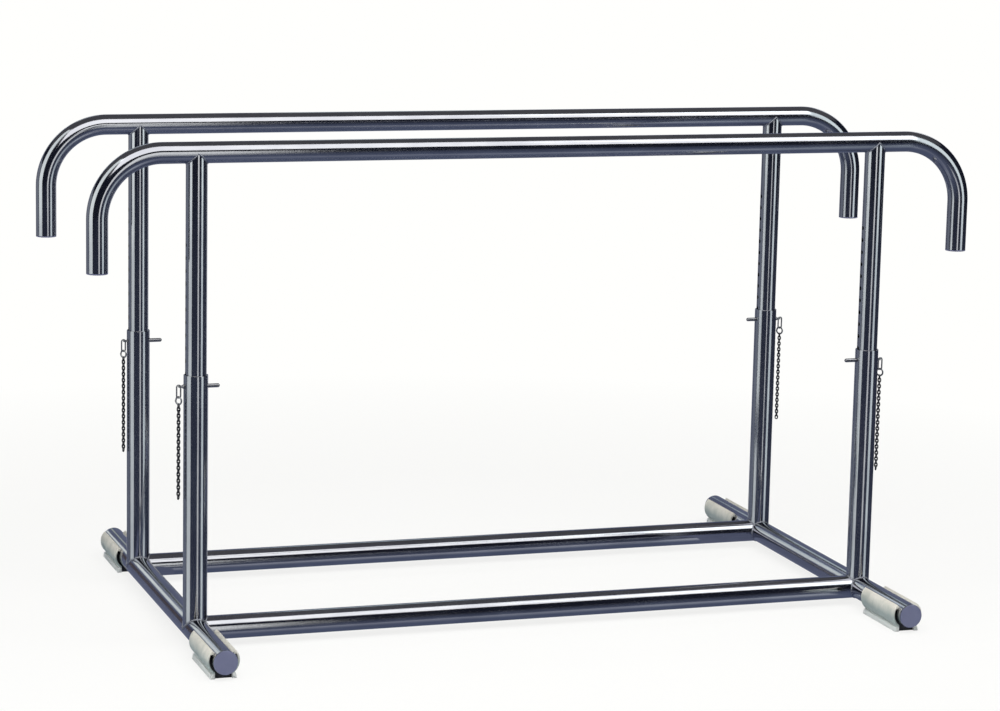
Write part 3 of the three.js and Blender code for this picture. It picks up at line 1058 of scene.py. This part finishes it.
# Wire bent to an oval or a ring in the XZ plane, centred on the origin
def wireLoop(bm, wire, width, length, sides, steps):
    bend, straight = width / 2 - wire, length - width
    made = bmesh.ops.create_circle(
        bm, segments=sides, radius=wire, matrix=Matrix.Translation((bend, 0, -straight / 2)))
    verts = made["verts"]
    edges = list({edge for vert in verts for edge in vert.link_edges})
    for side in (1, -1):
        if straight > 0:
            edges = drawnOut(bm, edges, (0, 0, side * straight))
            verts = list(vertsOn(edges))
        half = spun(bm, verts + edges, (0, 0, side * straight / 2), (0, -1, 0), math.pi, steps)
        edges, verts = edgesOf(half), vertsOf(half)
    merged(bm, wideGap)
    outwards(bm)


# The link that hangs round the rim of the pin's eye
linkSet = {"wire": 1.5 * mm, "width": 11 * mm, "sides": 12, "steps": 16}


def addLink(corner):
    low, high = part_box("pin_link_" + corner)
    bm = bmesh.new()
    wireLoop(bm, linkSet["wire"], linkSet["width"], high.z - low.z, linkSet["sides"], linkSet["steps"])
    obj = bmObject("eye_link_" + corner, bm, [zinc])
    matrix = Matrix.Translation((low + high) / 2)
    settle(obj, matrix, "chain_" + corner, "pin_steel", "pin_link_" + corner)


# Split ring in the link: flat wire wound twice, side by side
ringSet = {"wire": 1.7 * mm, "turn": 125, "coils": 2, "sides": 12, "steps": 40}


def addRing(corner):
    low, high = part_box("pin_ring_" + corner)
    wire, coils = ringSet["wire"], ringSet["coils"]
    across, turns = wire / coils, coils * ringSet["steps"]
    bm = bmesh.new()
    bmesh.ops.create_circle(bm, segments=ringSet["sides"], radius=wire, cap_ends=True)
    bmesh.ops.scale(bm, vec=(1, across / wire, 1), verts=bm.verts[:])
    start = Matrix.Translation(((high.z - low.z) / 2 - wire, across - wire, 0))
    bmesh.ops.transform(bm, matrix=start, verts=bm.verts[:])
    whole = bm.verts[:] + bm.edges[:] + bm.faces[:]
    rise = 2 * across * (coils - 1) / turns
    spun(bm, whole, (0, 0, 0), (0, -1, 0), 2 * math.pi * coils, turns, False, rise)
    outwards(bm)
    obj = bmObject("split_ring_" + corner, bm, [zinc])
    turn = Matrix.Rotation(math.radians(ringSet["turn"]), 4, "Z")
    matrix = Matrix.Translation((low + high) / 2) @ turn
    settle(obj, matrix, "chain_" + corner, "pin_steel", "pin_ring_" + corner)


# Chain of separate links, every second one a quarter turn round from its neighbours
chainSet = {
    "wire": 1.4 * mm,
    "width": 8.4 * mm,
    "link": 12.1 * mm,
    "pitch": 6.5 * mm,
    "turn": -40,
    "sides": 6,
    "steps": 4,
    "sharpAngle": 60,
}


def addChain(corner):
    low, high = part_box("pin_chain_" + corner)
    pitch, long = chainSet["pitch"], chainSet["link"]
    count = round((high.z - low.z - long) / pitch) + 1
    chain = bmesh.new()
    for index in range(count):
        link = bmesh.new()
        wireLoop(link, chainSet["wire"], chainSet["width"], long, chainSet["sides"], chainSet["steps"])
        angle = math.radians(chainSet["turn"]) + (0 if index % 2 else math.pi / 2)
        down = Matrix.Translation((0, 0, high.z - long / 2 - index * pitch))
        bmesh.ops.transform(link, matrix=down @ Matrix.Rotation(angle, 4, "Z"), verts=link.verts[:])
        part = bpy.data.meshes.new("chain_link")
        link.to_mesh(part)
        link.free()
        chain.from_mesh(part)
        bpy.data.meshes.remove(part)
    obj = bmObject("hanging_chain_" + corner, chain, [dullZinc], chainSet["sharpAngle"])
    matrix = Matrix.Translation(((low.x + high.x) / 2, (low.y + high.y) / 2, 0))
    settle(obj, matrix, "chain_" + corner, "pin_steel", "pin_chain_" + corner)


for corner, (sx, sy) in corners.items():
    addPin(corner, sx)
    addLink(corner)
    addRing(corner)
    addChain(corner)
print("pins and chains built")

# Studio floor: it takes light and shadow, and camera, glossy and transmission rays also see it glow
floorSet = {
    "colour": (0.93, 0.93, 0.92, 1),
    "glow": (1.0, 1.0, 0.985, 1),
    "glowReach": (1.2, 2.6),  # two distances from the middle, and the glow's share at each
    "glowShare": (0.82, 1.0),
    "size": 160,
}


def addFloor():
    material, sheet = newMaterial("studio_floor")
    lit = sheet.node("ShaderNodeBsdfDiffuse", None, {"Color": floorSet["colour"]})
    pale = sheet.node("ShaderNodeEmission", None, {"Color": floorSet["glow"]})
    away = sheet.node("ShaderNodeVectorMath", {"operation": "LENGTH"}, {0: ownSpot(sheet)}, "Value")
    camera, glossy, transmission = (
        sheet.node("ShaderNodeLightPath", None, None, "Is " + kind + " Ray")
        for kind in ("Camera", "Glossy", "Transmission"))
    seen = (camera + glossy + transmission).between(0, 1)
    share = away.between(*floorSet["glowReach"], *floorSet["glowShare"]) * seen
    mixed = sheet.node("ShaderNodeMixShader", None, {0: share, 1: lit, 2: pale})
    sheet.node("ShaderNodeOutputMaterial", None, {"Surface": mixed})
    bm = bmesh.new()
    bmesh.ops.create_grid(bm, x_segments=1, y_segments=1, size=floorSet["size"] / 2)
    bmObject("studio_floor", bm, [material])


# World: a pale horizon that meets the floor, under a dim sky
worldSet = {
    "horizon": (1.0, 1.0, 0.985),
    "sky": (0.10, 0.10, 0.11),
    "rise": (0.13, 0.22),  # how far up the horizon's colour starts to fade, and where it has
}


def addWorld():
    world = bpy.data.worlds.new("studio")
    scene.world = world
    world.use_nodes = True
    world.node_tree.nodes.clear()
    sheet = Wire(world.node_tree)
    way = sheet.node("ShaderNodeTexCoord", None, None, "Generated")
    up = sheet.node("ShaderNodeSeparateXYZ", None, {0: way}, "Z")
    horizon, sky = worldSet["horizon"], worldSet["sky"]
    fades, faded = worldSet["rise"]
    stops = [(0.0, horizon), (fades, horizon), (faded, sky), (1.0, sky)]
    shade = sheet.node("ShaderNodeValToRGB", {"stops": stops}, {0: up})
    glow = sheet.node("ShaderNodeBackground", None, {"Color": shade})
    sheet.node("ShaderNodeOutputWorld", None, {"Surface": glow})


# Soft lamps: middle, size, strength, seen in gloss
lampSet = {
    "front_softbox": ((0, -1.75, 3.0), (4.8, 2.3), 1.25, True),
    "overhead_fill": ((0, -0.7, 3.1), (3.6, 2.6), 1.5, False),
    "left_softbox": ((-3.0, -1.6, 1.25), (1.3, 2.3), 2.2, False),
    "right_softbox": ((3.0, -1.6, 1.25), (1.3, 2.3), 0.9, False),
    "back_softbox": ((0, 3.6, 2.5), (4.0, 0.9), 1.5, False),
}
lampAim = (0, 0, 0.55)
lampWatts = 4  # to a square metre, at a strength of 1


def addLamp(name, middle, size, strength, inGloss):
    data = bpy.data.lights.new(name, "AREA")
    data.shape = "RECTANGLE"
    data.size, data.size_y = size
    data.energy = strength * lampWatts * size[0] * size[1]
    obj = bpy.data.objects.new(name, data)
    aim = Vector(lampAim) - Vector(middle)
    obj.matrix_world = Matrix.Translation(middle) @ aim.to_track_quat("-Z", "Y").to_matrix().to_4x4()
    obj.visible_glossy = inGloss
    scene.collection.objects.link(obj)


# Surround, which only gloss sees: a dim wall round the object, with standing strips before it.
# Distance, bottom, top, start and end in degrees from the front to the left, tone
surroundSet = {
    "dim_surround": (7.3, 0, 5.0, 0, 360, (0.012, 0.014, 0.026)),
    "left_grey": (7.1, 0, 2.6, 104, 192, (0.25, 0.275, 0.325)),
    "left_strip": (7.0, 0, 12.0, 62, 98, (1.22, 1.3, 1.27)),
    "front_strip": (7.0, 0, 2.6, -9, 4, (1.2, 1.22, 1.2)),
    "right_strip": (7.0, 0, 12.0, -57, -35, (1.2, 1.33, 1.33)),
    "back_slate": (7.05, 0, 4.2, 147, 230, (0.15, 0.17, 0.255)),
    "back_navy": (7.0, 0, 4.2, 149, 155.5, (0.05, 0.055, 0.10)),
    "back_low": (6.95, 0, 0.75, 150, 163, (0.09, 0.078, 0.09)),
    "back_band": (6.98, 1.35, 3.0, 158, 165.5, (0.95, 1.02, 1.0)),
    "back_band_high": (6.98, 2.5, 3.4, 165.5, 169.5, (0.85, 0.97, 1.03)),
    "back_line": (6.98, 0, 2.65, 176, 180, (0.45, 0.5, 0.47)),
    "back_line_high": (6.98, 2.9, 4.9, 192, 200, (0.58, 0.68, 0.72)),
    "back_band_top": (6.98, 3.95, 4.9, 168, 182, (0.85, 0.95, 1.0)),
    "back_strip_right": (7.0, 0, 4.2, 218, 228, (1.1, 1.12, 1.15)),
}
stripStep = 4  # degrees


def onlyInGloss(obj):
    obj.visible_camera = False
    obj.visible_diffuse = False
    obj.visible_transmission = False
    obj.visible_shadow = False


def glowMaterial(name, tone):
    material, sheet = newMaterial(name)
    glow = sheet.node("ShaderNodeEmission", None, {"Color": (*tone, 1)})
    sheet.node("ShaderNodeOutputMaterial", None, {"Surface": glow})
    return material


def addStrip(name, distance, bottom, top, start, end, tone):
    bm = bmesh.new()
    foot = bm.verts.new((0, -distance, bottom))
    bm.edges.new((foot, bm.verts.new((0, -distance, top))))
    turn = Matrix.Rotation(-math.radians(start), 3, "Z")
    bmesh.ops.rotate(bm, verts=bm.verts[:], cent=(0, 0, 0), matrix=turn)
    steps = max(round((end - start) / stripStep), 2)
    angle = math.radians(end - start)
    spun(bm, bm.verts[:] + bm.edges[:], (0, 0, 0), (0, 0, -1), angle, steps, end - start == 360)
    onlyInGloss(bmObject(name, bm, [glowMaterial(name, tone)]))


# Patches beside the cross tubes where the floor doesn't mirror: left, front, right, back
mattingSet = {
    "left_matting": (-0.9, -0.24, -0.64, 0.75),
    "right_matting": (0.58, -0.24, 0.8, 0.75),
}
mattingTone = (0.14, 0.158, 0.24)
mattingLift = 1.2 * mm


def addMatting(name, left, front, right, back):
    bm = bmesh.new()
    bmesh.ops.create_grid(bm, x_segments=1, y_segments=1, size=0.5)
    bmesh.ops.scale(bm, verts=bm.verts[:], vec=(right - left, back - front, 1))
    middle = ((left + right) / 2, (front + back) / 2, mattingLift)
    bmesh.ops.translate(bm, verts=bm.verts[:], vec=middle)
    onlyInGloss(bmObject(name, bm, [glowMaterial(name, mattingTone)]))


# A dim polished sheet on the floor, seen only in gloss, that mirrors the strips at a low angle
sheetSet = {
    "tone": (0.115, 0.138, 0.222, 1),
    "mirror": (0.95, 0.95, 0.95, 1),
    "roughness": 0.15,
    "fall": 1.5,  # how fast its mirroring falls away as it is seen from higher up
    "radius": 7.3,
    "steps": 64,
    "lift": 0.8 * mm,
}


def addSheet():
    material, sheet = newMaterial("polished_sheet")
    tone = sheet.node("ShaderNodeEmission", None, {"Color": sheetSet["tone"]})
    gloss = {"Color": sheetSet["mirror"], "Roughness": sheetSet["roughness"]}
    mirror = sheet.node("ShaderNodeBsdfGlossy", None, gloss)
    facing = sheet.node("ShaderNodeLayerWeight", None, None, "Facing")
    grazing = facing ** sheetSet["fall"]
    mixed = sheet.node("ShaderNodeMixShader", None, {0: grazing, 1: tone, 2: mirror})
    sheet.node("ShaderNodeOutputMaterial", None, {"Surface": mixed})
    bm = bmesh.new()
    bmesh.ops.create_circle(
        bm, segments=sheetSet["steps"], radius=sheetSet["radius"], cap_ends=True,
        matrix=Matrix.Translation((0, 0, sheetSet["lift"])))
    onlyInGloss(bmObject("polished_sheet", bm, [material]))


addFloor()
addWorld()
addSheet()
for name, values in lampSet.items():
    addLamp(name, *values)
for name, values in surroundSet.items():
    addStrip(name, *values)
for name, values in mattingSet.items():
    addMatting(name, *values)
print("studio lit")
